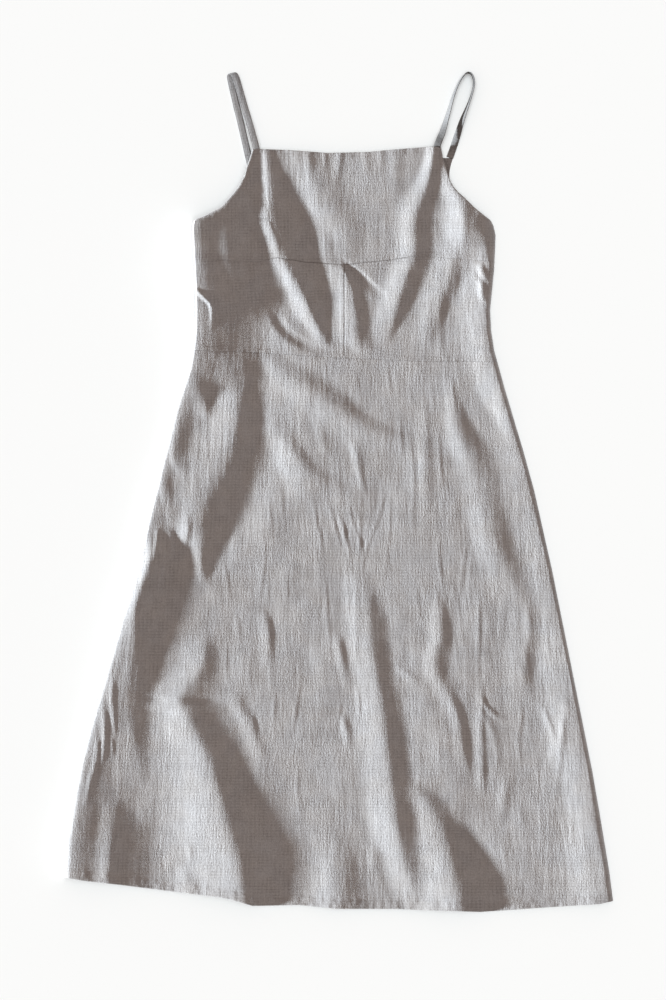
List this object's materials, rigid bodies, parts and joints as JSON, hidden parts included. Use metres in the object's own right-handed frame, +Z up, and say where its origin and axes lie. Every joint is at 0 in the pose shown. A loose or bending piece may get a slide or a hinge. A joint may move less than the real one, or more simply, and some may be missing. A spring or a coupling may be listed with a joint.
{
  "type": "slip dress",
  "caption": "Sleeveless A-line slip dress laid flat, with a square neckline, narrow shoulder straps, a bust seam and a waist seam, in crinkled checked cloth.",
  "frame": {"origin": "centre of the bounding box, on the surface the dress lies on", "axes": "+X across the dress towards the right of the picture, +Y along the centre front from hem to straps, +Z up, away from the surface"},
  "size_m": [0.7955, 1.215, 0.0298],
  "materials": {
    "cloth": "matt crinkled linen and cotton cloth with a fine tonal check"
  },
  "bodies": {
    "root": {"front_bodice_upper": "cloth", "front_bodice_lower_left": "cloth", "front_bodice_lower_right": "cloth", "front_skirt": "cloth", "back_bodice": "cloth", "back_skirt": "cloth", "strap_left": "cloth", "strap_right": "cloth"}
  },
  "joints": []
}
